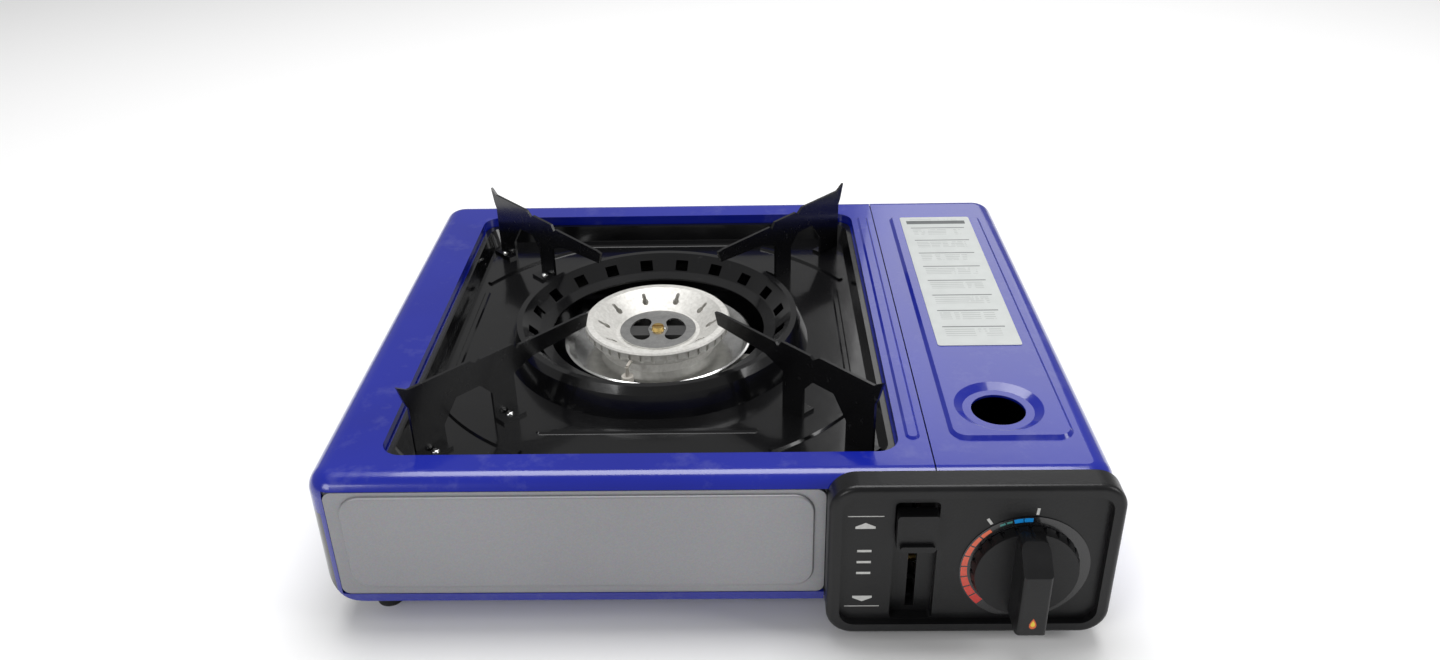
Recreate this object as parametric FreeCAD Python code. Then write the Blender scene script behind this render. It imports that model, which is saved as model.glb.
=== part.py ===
import FreeCAD, Part
import math
import os

# Butane cassette stove, millimetres. X right, Y back, Z up, seen from the control side.
# The origin lies on the surface that the stove stands on, under the middle of its bounding box.

# Overall body
body_w = 343.0
body_d = 290.0
top_z = 80.0
panel_out = 12.0
knob_out = 18.0
plan_r = 12.0
edge_r = 9.0
sheet = 1.2
running = 0.3

half_w = body_w / 2
half_y = (body_d + panel_out + knob_out) / 2
back_y = half_y
front_y = back_y - body_d
mid_y = (front_y + back_y) / 2

# Lower shell
base_z = 14.5
bay_z = 6.0
bay_x = 78.0
base_r = 18.0
bay_r = 12.0
seam_z = 62.0
pocket = 2.0
shelf_drop = 3.2
shoulder_z = 74.0

# Silver front panel and the left edge of the control panel
panel_inset = 8.5
panel_x0 = panel_inset - half_w
panel_z0 = 18.5
control_x0 = 50.0

# Air slots
vent_count = 9
vent_pitch = 14.0
vent_x0 = -120.0
vent_w = 5.0
vent_z0 = 30.0
vent_z1 = 50.0
side_vent_count = 7
bay_vent_count = 5

# Lid over the cartridge bay
lid_x = 96.0
lid_gap = 0.6
joggle = 4.2
hinge_x = half_w - 1.9
hinge_pin_r = 1.0
hinge_eye_r = 1.8
hinge_fit = 0.05
hinge_len = 30.0
hinge_inset = 45.0
field_x0 = 105.0
field_x1 = 160.0
field_y0 = mid_y - 119.0
field_y1 = mid_y + 119.0
field_h = 1.6
rib_x = 89.0
rib_y0 = mid_y - 118.0
rib_y1 = mid_y + 118.0
finger_x = 130.5
finger_y = mid_y - 94.0
finger_r = 12.2
finger_dish_r = 20.0

# Opening for the drip tray, and its ledge
open_x0 = -143.0
open_x1 = 82.5
open_y0 = mid_y - 126.0
open_y1 = mid_y + 123.0
open_r = 10.0
ledge = 3.0
ledge_z = 74.0

# Burner centre
burner_x = -29.5
burner_y = mid_y - 1.5
burner_r = 38.0
burner_z = 77.5


def vec(x, y, z):
    return FreeCAD.Vector(x, y, z)


def box(x0, x1, y0, y1, z0, z1):
    return Part.makeBox(x1 - x0, y1 - y0, z1 - z0, vec(x0, y0, z0))


def rod(r, x, y, z, length, along=(0, 0, 1)):
    return Part.makeCylinder(r, length, vec(x, y, z), vec(*along))


def fuse(first, *others):
    return first.fuse(list(others)).removeSplitter()


def cut(shape, *tools):
    return shape.cut(list(tools))


def prism(points, along):
    wire = Part.makePolygon([vec(*p) for p in points + points[:1]])
    return Part.Face(wire).extrude(vec(*along))


def rounded_wire(x0, x1, y0, y1, r, z):
    k = r * (1 - math.sqrt(0.5))
    e = []
    e.append(Part.LineSegment(vec(x0 + r, y0, z), vec(x1 - r, y0, z)))
    e.append(Part.Arc(vec(x1 - r, y0, z), vec(x1 - k, y0 + k, z), vec(x1, y0 + r, z)))
    e.append(Part.LineSegment(vec(x1, y0 + r, z), vec(x1, y1 - r, z)))
    e.append(Part.Arc(vec(x1, y1 - r, z), vec(x1 - k, y1 - k, z), vec(x1 - r, y1, z)))
    e.append(Part.LineSegment(vec(x1 - r, y1, z), vec(x0 + r, y1, z)))
    e.append(Part.Arc(vec(x0 + r, y1, z), vec(x0 + k, y1 - k, z), vec(x0, y1 - r, z)))
    e.append(Part.LineSegment(vec(x0, y1 - r, z), vec(x0, y0 + r, z)))
    e.append(Part.Arc(vec(x0, y0 + r, z), vec(x0 + k, y0 + k, z), vec(x0 + r, y0, z)))
    return Part.Wire([edge.toShape() for edge in e])


def plate(x0, x1, y0, y1, r, z0, z1):
    return Part.Face(rounded_wire(x0, x1, y0, y1, r, z0)).extrude(vec(0, 0, z1 - z0))


def upright(x0, x1, z0, z1, r, y0, y1):
    flat = plate(x0, x1, z0, z1, r, 0, y1 - y0)
    flat.rotate(vec(0, 0, 0), vec(1, 0, 0), 90)
    flat.translate(vec(0, y1, 0))
    return flat


def tapered(low, high):
    return Part.makeLoft([rounded_wire(*low), rounded_wire(*high)], True, True)


def revolve(points, x, y):
    wire = Part.makePolygon([vec(r, 0, z) for r, z in points + points[:1]])
    turned = Part.Face(wire).revolve(vec(0, 0, 0), vec(0, 0, 1), 360)
    turned.translate(vec(x, y, 0))
    return turned


# Lower shell with the deeper cartridge bay
def shell_section(inset):
    # The section across the width: a shallow left part and a deeper bay, with rounded lower corners
    left = -half_w + inset
    right = half_w - inset
    shallow = base_z + inset
    deep = bay_z + inset
    r_left = base_r - inset
    r_right = bay_r - inset
    k_left = r_left * (1 - math.sqrt(0.5))
    k_right = r_right * (1 - math.sqrt(0.5))
    step = bay_x + inset
    tall = top_z
    edges = [
        Part.LineSegment(vec(left, 0, tall), vec(left, 0, shallow + r_left)),
        Part.Arc(vec(left, 0, shallow + r_left), vec(left + k_left, 0, shallow + k_left),
                 vec(left + r_left, 0, shallow)),
        Part.LineSegment(vec(left + r_left, 0, shallow), vec(step - shallow + deep, 0, shallow)),
        Part.LineSegment(vec(step - shallow + deep, 0, shallow), vec(step, 0, deep)),
        Part.LineSegment(vec(step, 0, deep), vec(right - r_right, 0, deep)),
        Part.Arc(vec(right - r_right, 0, deep), vec(right - k_right, 0, deep + k_right),
                 vec(right, 0, deep + r_right)),
        Part.LineSegment(vec(right, 0, deep + r_right), vec(right, 0, tall)),
        Part.LineSegment(vec(right, 0, tall), vec(left, 0, tall)),
    ]
    wire = Part.Wire([edge.toShape() for edge in edges])
    return Part.Face(wire).extrude(vec(0, body_d, 0)).translated(vec(0, front_y, 0))


def shell_block(inset, front):
    # The rounded plan cut out of the long section
    plan = plate(-half_w + inset, half_w - inset, front, back_y - inset, plan_r - inset, bay_z, top_z)
    return shell_section(inset).common(plan)


def base_shell():
    inner_front = front_y + pocket + sheet
    outer = shell_block(0, front_y)
    inner = shell_block(sheet, inner_front)
    shelf = seam_z - shelf_drop
    outer = cut(outer, box(half_w - joggle, half_w + 1, front_y - 1, back_y + 1, shelf, top_z + 1))
    inner = cut(inner, box(half_w - joggle - sheet, half_w + 1, front_y - 1, back_y + 1,
                           shelf - sheet, top_z + 1))
    shell = cut(outer, inner)
    # The seam under the top plate and the lid, lower at the ends than along the lid's hinge
    over_left = box(-half_w - 1, half_w - joggle - sheet, front_y + pocket + sheet, back_y + 1, seam_z, top_z + 1)
    over_lip = box(-half_w - 1, half_w + 1, front_y - 1, front_y + pocket, seam_z, top_z + 1)
    over_corner = box(-half_w - 1, panel_x0 - 0.3, front_y - 1, inner_front, seam_z, top_z + 1)
    over_front = box(-half_w - 1, half_w + 1, front_y - 1, inner_front, shoulder_z, top_z + 1)
    over_wall = box(half_w - joggle - sheet - 1, half_w + 1, front_y - 1, back_y + 1, shoulder_z, top_z + 1)
    over_back = box(-half_w - 1, half_w + 1, back_y - plan_r, back_y + 1, seam_z, top_z + 1)
    over_bay_front = box(half_w - plan_r, half_w + 1, front_y - 1, front_y + plan_r, seam_z, top_z + 1)
    pocket_cut = box(panel_x0 - 0.3, half_w + 1, front_y - 1, front_y + pocket, base_z + 4, top_z + 1)
    pocket_bay = box(control_x0 - 0.3, half_w + 1, front_y - 1, front_y + pocket, bay_z - 1, top_z + 1)
    shell = cut(shell, over_left, over_lip, over_corner, over_front, over_wall, over_back, over_bay_front,
                pocket_cut, pocket_bay)
    # Air slots in the back and in the left end
    slots = []
    for k in range(vent_count):
        x = vent_x0 + k * vent_pitch
        slots.append(upright(x, x + vent_w, vent_z0, vent_z1, vent_w / 2 - 0.05, back_y - 3, back_y + 1))
    for k in range(side_vent_count):
        y = mid_y + (k - (side_vent_count - 1) / 2) * vent_pitch
        slots.append(box(-half_w - 1, -half_w + 3, y - vent_w / 2, y + vent_w / 2, vent_z0 + 8, vent_z1 + 4))
    for k in range(bay_vent_count):
        y = mid_y + (k - (bay_vent_count - 1) / 2) * 2 * vent_pitch
        slots.append(plate(bay_x + 22, bay_x + 62, y - vent_w / 2, y + vent_w / 2, vent_w / 2 - 0.05,
                           bay_z - 1, bay_z + sheet + 1))
    return cut(shell, *slots)


# Top plate and lid, cut from one rounded cap
def cap_block(inset):
    block = plate(-half_w + inset, half_w - inset, front_y + inset, back_y - inset, plan_r - inset,
                  seam_z - 1 if inset else seam_z, top_z - inset)
    rim = [e for e in block.Edges if abs(e.CenterOfMass.z - (top_z - inset)) < 0.01]
    return block.makeFillet(edge_r - inset, rim)


def cap_shell():
    shell = cut(cap_block(0), cap_block(sheet))
    under_shoulder = box(panel_x0 - 0.3, half_w + 1, front_y - 1, front_y + pocket + sheet + 0.3,
                         seam_z - 1, shoulder_z + 0.3)
    return cut(shell, under_shoulder)


def top_plate():
    part = cap_shell().common(box(-half_w - 1, lid_x - lid_gap, front_y - 1, back_y + 1, seam_z, top_z + 1))
    well = plate(open_x0 - sheet, open_x1 + sheet, open_y0 - sheet, open_y1 + sheet, open_r + sheet,
                 ledge_z - sheet, top_z)
    part = fuse(part, well)
    part = cut(part, plate(open_x0, open_x1, open_y0, open_y1, open_r, ledge_z, top_z + 1),
               plate(open_x0 + ledge, open_x1 - ledge, open_y0 + ledge, open_y1 - ledge, open_r - ledge,
                     ledge_z - sheet - 1, top_z + 1))
    # Stiffening rib between the opening and the lid, and the turned-down edge beside the lid
    rib = tapered((rib_x - 3.5, rib_x + 3.5, rib_y0, rib_y1, 3.4, top_z - 0.3),
                  (rib_x - 2.0, rib_x + 2.0, rib_y0 + 1.5, rib_y1 - 1.5, 1.9, top_z + 1.0))
    turned = box(lid_x - lid_gap - sheet, lid_x - lid_gap, front_y + 14, back_y - 14, top_z - 7, top_z - 0.5)
    return fuse(part, rib, turned)


def cartridge_lid():
    part = cap_shell().common(box(lid_x, half_w + 1, front_y - 1, back_y + 1, seam_z + 0.3, top_z + 1))
    # Raised field with two steps, and the dished finger hole
    field = tapered((field_x0, field_x1, field_y0, field_y1, 8, top_z - 0.3),
                    (field_x0 + 2, field_x1 - 2, field_y0 + 2, field_y1 - 2, 6, top_z + field_h))
    field_under = tapered((field_x0 + 1, field_x1 - 1, field_y0 + 1, field_y1 - 1, 7, top_z - sheet - 0.1),
                          (field_x0 + 3, field_x1 - 3, field_y0 + 3, field_y1 - 3, 5, top_z + field_h - sheet))
    part = cut(fuse(part, field), field_under)
    dish = Part.makeCone(finger_dish_r - 4, finger_dish_r, 2.2, vec(finger_x, finger_y, top_z + field_h - 2.2))
    cup = Part.makeCone(finger_dish_r - 3, finger_dish_r + 1, 2.2,
                        vec(finger_x, finger_y, top_z + field_h - 2.2 - sheet))
    part = cut(fuse(part, cup.common(box(field_x0 + 4, half_w, front_y, back_y, top_z - 4, top_z + field_h))), dish)
    part = cut(part, rod(finger_r, finger_x, finger_y, top_z - 10, 20))
    # Hinge eyes on the lid's skirt, with room for the eyes of the shell between them
    for y in hinge_ys():
        part = cut(part, box(half_w - joggle, half_w + 1, y - hinge_len / 6 - 0.4, y + hinge_len / 6 + 0.4,
                             seam_z - 1, seam_z + 3.0))
        for side in (-1, 1):
            y0 = y + side * hinge_len / 3 - hinge_len / 6 + 0.4
            eye = rod(hinge_eye_r, hinge_x, y0, seam_z, hinge_len / 3 - 0.8, (0, 1, 0))
            part = fuse(part, eye.fuse(box(half_w - sheet, half_w, y0, y0 + hinge_len / 3 - 0.8, seam_z, seam_z + 1)))
        part = cut(part, rod(hinge_pin_r + hinge_fit, hinge_x, y - hinge_len, seam_z, 2 * hinge_len, (0, 1, 0)))
    return part


def hinge_ys():
    return (front_y + hinge_inset, back_y - hinge_inset)


def lid_hinge_leaf():
    # Middle eye of each hinge, on a leaf that is riveted inside the wall
    leaves = []
    for y in hinge_ys():
        y0 = y - hinge_len / 6
        y1 = y + hinge_len / 6
        eye = rod(hinge_eye_r, hinge_x, y0, seam_z, y1 - y0, (0, 1, 0))
        web = box(half_w - joggle, hinge_x, y0, y1, seam_z - 0.5, seam_z + 0.5)
        leaf = box(half_w - joggle, half_w - joggle + 0.8, y0, y1, seam_z - 3, seam_z + 3)
        leaf = cut(fuse(eye, web, leaf), rod(hinge_pin_r + hinge_fit, hinge_x, y0 - 1, seam_z, y1 - y0 + 2, (0, 1, 0)))
        leaves.append(leaf)
    return Part.makeCompound(leaves)


def lid_hinge_pins():
    pins = [rod(hinge_pin_r, hinge_x, y - hinge_len / 2, seam_z, hinge_len, (0, 1, 0)) for y in hinge_ys()]
    return Part.makeCompound(pins)


# Silver front panel with its pressed field
def front_panel():
    back = upright(panel_x0, control_x0 - 0.3, panel_z0, shoulder_z, 4, front_y + 0.4, front_y + pocket)
    field = upright(panel_x0 + 6, control_x0 - 5, panel_z0 + 4.5, shoulder_z - 2, 9, front_y - 1.0, front_y + 1.0)
    rim = [e for e in field.Edges if abs(e.CenterOfMass.y - (front_y - 1.0)) < 0.01]
    return fuse(back, field.makeFillet(0.9, rim))


# Feet
foot_r = 7.5
foot_tip_r = 6.0
foot_x_left = -149.0
foot_x_right = 150.0
foot_y_front = front_y + 18.0
foot_y_rear = back_y - 20.0


def foot(x, y, top):
    body = Part.makeCone(foot_tip_r, foot_r, top, vec(x, y, 0))
    recess = rod(2.6, x, y, -1, 3.0)
    return cut(body, recess)


# Black enamel drip tray: flange, sloping walls, floor, raised wind ring with vents
tray_t = 1.0
tray_gap = 0.8
tray_top = ledge_z + tray_t
tray_floor = 66.0
step_in = 4.5
tray_lip = 2.5
ring_crest_r = 72.0
ring_crest_z = 81.0
ring_foot_r = 79.0
ring_lip_r = 56.0
ring_lip_z = 71.5
ring_vents = 20
ridge_len = 104.0
ridge_front = 88.0
ridge_rear = 112.0
ridge_left = 100.5
ridge_right = 97.0


def tray_rect(inset, z):
    return (open_x0 + tray_gap + inset, open_x1 - tray_gap - inset, open_y0 + tray_gap + inset, open_y1 - tray_gap - inset,
            open_r - 1 + inset / 3, z)


def ring_profile(offset):
    # Radius and height from the floor up over the crest and down to the inner lip
    return [(ring_foot_r - offset, tray_floor), (ring_crest_r + 3 - offset, ring_crest_z - 4),
            (ring_crest_r + 1, ring_crest_z - offset), (ring_crest_r - 2, ring_crest_z - offset),
            (ring_lip_r + 6 + offset, ring_lip_z + 1.5 - offset), (ring_lip_r, ring_lip_z - offset)]


def turned_arc(points, angle, spread):
    # A profile turned about the burner's axis over a part of the circle
    wire = Part.makePolygon([vec(r, 0, z) for r, z in points + points[:1]])
    piece = Part.Face(wire).revolve(vec(0, 0, 0), vec(0, 0, 1), spread)
    piece.rotate(vec(0, 0, 0), vec(0, 0, 1), angle - spread / 2)
    return piece.translated(vec(burner_x, burner_y, 0))


def drip_tray():
    outside = fuse(plate(*tray_rect(0, 0)[:5], ledge_z, tray_top),
                   tapered(tray_rect(step_in, tray_floor - tray_t), tray_rect(tray_lip, tray_top)))
    inside = tapered(tray_rect(step_in + tray_t, tray_floor), tray_rect(tray_lip, tray_top + 1.2))
    pan = cut(outside, inside, rod(ring_foot_r - 2, burner_x, burner_y, tray_floor - 5, 30))
    low = [(r, z) for r, z in reversed(ring_profile(tray_t))]
    ring = revolve([(ring_foot_r, tray_floor - tray_t)] + ring_profile(0) + low[:-1]
                   + [(ring_foot_r - tray_t - 2.5, tray_floor - tray_t)], burner_x, burner_y)
    vents = []
    for k in range(ring_vents):
        a = 360 * (k + 0.5) / ring_vents
        slot = box(ring_lip_r + 6.5, ring_lip_r + 12, -3.5, 3.5, ring_lip_z - 3, ring_crest_z - 3)
        slot.rotate(vec(0, 0, 0), vec(0, 0, 1), a)
        vents.append(slot.translated(vec(burner_x, burner_y, 0)))
    part = fuse(pan, cut(ring, *vents))
    # Pressed arcs in the corners of the floor
    for sx, sy in support_signs:
        r = arc_r
        arc = turned_arc([(r - 2.2, tray_floor - 0.4), (r - 1, tray_floor + 1.2), (r + 1, tray_floor + 1.2),
                          (r + 2.2, tray_floor - 0.4)], support_angle(sx, sy), arc_spread)
        part = fuse(part, arc)
    # Straight pressed ridges between the corners, side by side with the ring
    reach = ridge_len / 2
    for x0, x1, y0, y1 in ((-reach, reach, -ridge_front - 2, -ridge_front + 2),
                           (-reach, reach, ridge_rear - 2, ridge_rear + 2),
                           (-ridge_left - 2, -ridge_left + 2, -reach, reach),
                           (ridge_right - 2, ridge_right + 2, -reach, reach)):
        ridge = tapered((burner_x + x0, burner_x + x1, burner_y + y0, burner_y + y1, 1.9, tray_floor - 0.3),
                        (burner_x + x0 + 1, burner_x + x1 - 1, burner_y + y0 + 1, burner_y + y1 - 1, 0.9,
                         tray_floor + 0.9))
        part = fuse(part, ridge)
    return part


# Pan supports: four sheet blades on the diagonals
support_t = 1.5
toe_w = 4.6
support_dx = 106.0
support_dy = 112.0
support_signs = ((-1, -1), (1, -1), (-1, 1), (1, 1))
support_tip = 46.0
support_inner_leg = (93.0, 106.0)
support_outer_leg = (133.0, 149.0)
support_arch_z = 88.0
support_tops = (99.5, 101.3, 102.7)
support_peak = 106.0
arc_r = 119.0
arc_spread = 30.0


def support_outline():
    # Distance from the burner's centre, and height, round one blade
    low = tray_floor
    mid = (support_arch_z + low) / 2
    a, b = support_inner_leg
    c, d = support_outer_leg
    one, two, three = support_tops
    return [(support_tip, one - 0.6), (support_tip + 4, one), (88, one), (89.5, one - 2), (92, two), (110, two),
            (112, two - 1.6), (116, three), (d - 1, three), (d + 4, support_peak), (d + 1.5, three - 6),
            (d, three - 9), (d, low), (c, low), (c, mid), (c - 8, support_arch_z), (b + 6, support_arch_z),
            (b, mid + 4), (b, low), (a, low), (a, ring_crest_z + 5), (a - 12, one - 9), (support_tip + 2, one - 7)]


def pan_support(sx, sy):
    blade = prism([(s, -support_t / 2, z) for s, z in support_outline()], (0, support_t, 0))
    c, d = support_outer_leg
    toe = box(c, d, support_t / 2 - 0.01, support_t / 2 + toe_w, tray_floor, tray_floor + support_t)
    a, b = support_inner_leg
    heel = box(a, b, support_t / 2 - 0.01, support_t / 2 + toe_w + 2, tray_floor, tray_floor + support_t)
    blade = fuse(blade, toe, heel)
    blade.rotate(vec(0, 0, 0), vec(0, 0, 1), support_angle(sx, sy))
    return blade.translated(vec(burner_x, burner_y, 0))


def support_angle(sx, sy):
    return math.degrees(math.atan2(sy * support_dy, sx * support_dx))


def tray_rivets():
    # Two rivets on the foot of each blade, standing on the bent feet
    heads = []
    for sx, sy in support_signs:
        for s in ((support_inner_leg[0] + support_inner_leg[1]) / 2, (support_outer_leg[0] + support_outer_leg[1]) / 2):
            head = Part.makeCone(2.0, 1.2, 1.2, vec(s, support_t / 2 + toe_w / 2, tray_floor + support_t))
            head.rotate(vec(0, 0, 0), vec(0, 0, 1), support_angle(sx, sy))
            heads.append(head.translated(vec(burner_x, burner_y, 0)))
    return Part.makeCompound(heads)


# Burner: cast head with dish, ports and flame slots, steel plate, brass screw and flared cup
head_base_z = 62.0
ports = 10
teeth = 40


def burner_head():
    z = burner_z
    profile = [(0, z - 13), (26, z - 13), (26, head_base_z), (30, head_base_z), (30, z - 11), (burner_r - 3, z - 8),
               (burner_r, z - 4), (burner_r, z - 0.8), (burner_r - 0.8, z), (burner_r - 4, z), (22, z - 8),
               (0, z - 8)]
    head = revolve(profile, burner_x, burner_y)
    tools = []
    for k in range(ports):
        a = 360 * k / ports
        hole = rod(1.7, 27, 0, z - 9, 8)
        tail = rod(1.0, 30.5, 0, z - 7, 8)
        drop = fuse(hole, tail, box(27, 30.5, -1.0, 1.0, z - 8.5, z))
        drop.rotate(vec(0, 0, 0), vec(0, 0, 1), a)
        tools.append(drop.translated(vec(burner_x, burner_y, 0)))
    for k in range(teeth):
        a = 360 * k / teeth
        slot = box(burner_r - 1.6, burner_r + 1, -0.8, 0.8, z - 6.5, z - 1.4)
        slot.rotate(vec(0, 0, 0), vec(0, 0, 1), a)
        tools.append(slot.translated(vec(burner_x, burner_y, 0)))
    for side in (-1, 1):
        tools.append(box(burner_x - 14, burner_x + 14, burner_y + side * 9 - 4, burner_y + side * 9 + 4, z - 14, z))
    return cut(head, *tools)


def burner_plate():
    # Spoked plate in the bottom of the dish
    disc = rod(20, burner_x, burner_y, burner_z - 8, 1.0)
    for side in (-1, 1):
        disc = cut(disc, plate(burner_x - 12, burner_x + 12, burner_y + side * 9 - 4, burner_y + side * 9 + 4, 3.8,
                               burner_z - 9, burner_z))
    return cut(disc, rod(1.6, burner_x, burner_y, burner_z - 9, 5))


def burner_screw():
    stem = rod(1.5, burner_x, burner_y, burner_z - 8, 1.0)
    head = Part.makeCone(3.6, 3.0, 1.8, vec(burner_x, burner_y, burner_z - 7))
    slot = box(burner_x - 4, burner_x + 4, burner_y - 0.5, burner_y + 0.5, burner_z - 5.9, burner_z - 5)
    return cut(fuse(stem, head), slot)


def burner_cup():
    z = head_base_z
    profile = [(16, z - 1), (31, z - 1), (44.5, z), (48.2, z + 4), (49.2, z + 3.6), (45.4, z - 1), (31, z - 2),
               (16, z - 2)]
    cup = revolve([(r, h + 1) for r, h in profile], burner_x, burner_y)
    return cut(cup, rod(4.0, spark_x, spark_y, z - 5, 12))


# Black control panel: moulded hood with a thick rim, a recessed face and the lever's channel
control_x1 = half_w
control_z0 = 5.0
control_z1 = 84.0
control_r = 12.0
rim_w = 5.5
face_in = 3.5
wall = 2.4
face_y = front_y - panel_out + face_in
channel_x0 = 77.5
channel_x1 = 96.0
slit_x0 = 84.9
slit_x1 = 88.6
slit_z0 = 14.0
slit_z1 = 70.0
channel_depth = 4.6
knob_x = 133.5
knob_z = 39.0
spindle_r = 3.0
dial_r = 27.5


def control_panel():
    y0 = front_y - panel_out
    hood = upright(control_x0, control_x1, control_z0, control_z1, control_r, y0, front_y - 0.3)
    rim = [e for e in hood.Edges if abs(e.CenterOfMass.y - y0) < 0.01]
    hood = hood.makeFillet(2.5, rim)
    neck = upright(control_x0 + 1, control_x1 - 5, bay_z + 6.5, shoulder_z - 0.5, 8, front_y - 0.3, front_y + pocket)
    face = upright(control_x0 + rim_w, control_x1 - rim_w, control_z0 + rim_w, control_z1 - rim_w, control_r - 5,
                   y0 - 1, face_y)
    back = upright(control_x0 + wall, control_x1 - wall - 4, bay_z + 8, shoulder_z - 2.5, 6,
                   face_y + wall, front_y + pocket + 1)
    upper = upright(control_x0 + wall, control_x1 - wall, shoulder_z + 2.5, control_z1 - wall - 2, 2.4,
                    face_y + wall + 1, front_y - 0.3 + 1)
    part = cut(fuse(hood, neck), face, back)
    lips = upright(channel_x0 - wall, channel_x1 + wall, slit_z0 - 6, slit_z1 + 5, 3, face_y, face_y + channel_depth + wall)
    channel = upright(channel_x0, channel_x1, slit_z0 - 3, slit_z1 + 4, 2, y0 - 1, face_y + channel_depth)
    inside = upright(control_x0 + wall, control_x1 - wall - 4, bay_z + 8, shoulder_z + 1, 6, y0, front_y + pocket)
    part = cut(fuse(part, lips.common(inside)), channel)
    slit = box(slit_x0, slit_x1, y0, front_y + pocket + 1, slit_z0, slit_z1)
    spindle_way = rod(spindle_r + hinge_fit, knob_x, y0, knob_z, 30, (0, 1, 0))
    return cut(part, slit, spindle_way)


def dial_plate():
    # Round scale plate behind the knob
    disc = rod(dial_r, knob_x, face_y - 0.4, knob_z, 0.4, (0, 1, 0))
    return cut(disc, rod(spindle_r + 1, knob_x, face_y - 1, knob_z, 2, (0, 1, 0)))


# Knob: round skirt, tapered grip bar with a sloped pointer end
knob_r = 23.0
bar_w = 12.0
knob_gap = 0.3


def control_knob():
    back = face_y - 0.4 - knob_gap
    tip = front_y - panel_out - knob_out
    skirt = Part.makeCone(knob_r, knob_r - 1.2, 4.0, vec(knob_x, back, knob_z), vec(0, -1, 0))
    bar = upright(knob_x - bar_w / 2, knob_x + bar_w / 2, knob_z - knob_r + 0.6, knob_z + knob_r - 0.6, 3.0, tip, back - 3)
    front_edges = [e for e in bar.Edges if abs(e.CenterOfMass.y - tip) < 0.01]
    bar = bar.makeFillet(1.4, front_edges)
    slope = prism([(knob_x - bar_w, tip - 1, knob_z + 12), (knob_x - bar_w, tip - 1, knob_z + knob_r + 1),
                   (knob_x - bar_w, back - 7, knob_z + knob_r + 1)], (2 * bar_w, 0, 0))
    lower = prism([(knob_x - bar_w, tip - 1, knob_z - 17), (knob_x - bar_w, tip - 1, knob_z - knob_r - 1),
                   (knob_x - bar_w, back - 9, knob_z - knob_r - 1)], (2 * bar_w, 0, 0))
    part = fuse(skirt, cut(bar, slope, lower))
    for k in range(24):
        a = 2 * math.pi * k / 24
        part = cut(part, rod(1.0, knob_x + knob_r * math.cos(a), back + 1, knob_z + knob_r * math.sin(a), 8, (0, -1, 0)))
    return cut(part, rod(spindle_r + 0.02, knob_x, tip + 6, knob_z, 30, (0, 1, 0)))


# Valve spindle with the snail cam that works the igniter
cam_r = 7.0
cam_rise = 5.0
knob_travel = 150.0
cam_y0 = front_y - 2.0
cam_y1 = front_y + 1.5
spindle_end = front_y + 12.0


def valve_spindle():
    tip = front_y - panel_out - knob_out + 6
    stem = rod(spindle_r, knob_x, tip, knob_z, spindle_end - tip, (0, 1, 0))
    points = []
    steps = 15
    for k in range(steps + 1):
        turn = knob_travel * k / steps
        a = math.radians(180 - turn)
        r = cam_r + cam_rise * turn / knob_travel
        points.append((knob_x + r * math.cos(a), cam_y0, knob_z + r * math.sin(a)))
    for k in range(1, 8):
        a = math.radians(180 - knob_travel - (360 - knob_travel) * k / 8)
        points.append((knob_x + cam_r * math.cos(a), cam_y0, knob_z + cam_r * math.sin(a)))
    return fuse(stem, prism(points, (0, cam_y1 - cam_y0, 0)))


# Igniter with its sprung plunger
igniter_r = 4.5
plunger_r = 2.5
igniter_x0 = 99.5
igniter_len = 20.0
cam_mid = (cam_y0 + cam_y1) / 2
plunger_tip = knob_x - cam_r - 0.6
plunger_bore = 12.0


def igniter_body():
    body = rod(igniter_r, igniter_x0, cam_mid, knob_z, igniter_len, (1, 0, 0))
    collar = rod(igniter_r + 1.0, igniter_x0 + igniter_len - 6, cam_mid, knob_z, 3, (1, 0, 0))
    way = rod(plunger_r + hinge_fit, igniter_x0 + igniter_len - plunger_bore, cam_mid, knob_z, 20, (1, 0, 0))
    post = box(igniter_x0 + 2, igniter_x0 + 10, face_y + wall, cam_mid, knob_z - 3, knob_z + 3)
    return cut(fuse(body, collar, post), way)


def igniter_plunger():
    start = igniter_x0 + igniter_len - plunger_bore + cam_rise + 0.6
    return rod(plunger_r, start, cam_mid, knob_z, plunger_tip - start, (1, 0, 0))


# Cartridge lever on its cross pin, and the link and yoke that it drives
lever_y = front_y + 75.0
lever_z = 42.0
lever_t = 2.8
lever_angle = 12.0
lever_reach = 85.4
lever_pin_r = 2.0


def gas_lever():
    x = (slit_x0 + slit_x1) / 2
    y0 = front_y - panel_out + 3.5
    up = lever_z + lever_reach * math.sin(math.radians(lever_angle))
    arm = prism([(x - lever_t / 2, lever_y + 5, lever_z - 5), (x - lever_t / 2, lever_y + 5, lever_z + 5),
                 (x - lever_t / 2, y0 + 1.5, up + 3.4), (x - lever_t / 2, y0 + 1.5, up - 3.4)], (lever_t, 0, 0))
    tab = upright(channel_x0 + 0.6, channel_x1 - 0.6, up - 7.5, up + 10.5, 1.6, y0 - 4.6, y0 + 1.6)
    ridge = upright(channel_x0 + 2, channel_x1 - 2, up - 7.0, up - 4.0, 1.2, y0 - 6.4, y0 - 4)
    part = fuse(arm, tab, ridge)
    return cut(part, rod(lever_pin_r + hinge_fit, x - 5, lever_y, lever_z, 10, (1, 0, 0)))


def lever_pivot_pin():
    return rod(lever_pin_r, heat_x - 10, lever_y, lever_z, 10 + heat_t, (1, 0, 0))


# Upright steel wall between the burner box and the bay
heat_x = 91.5
heat_t = 1.0


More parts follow.
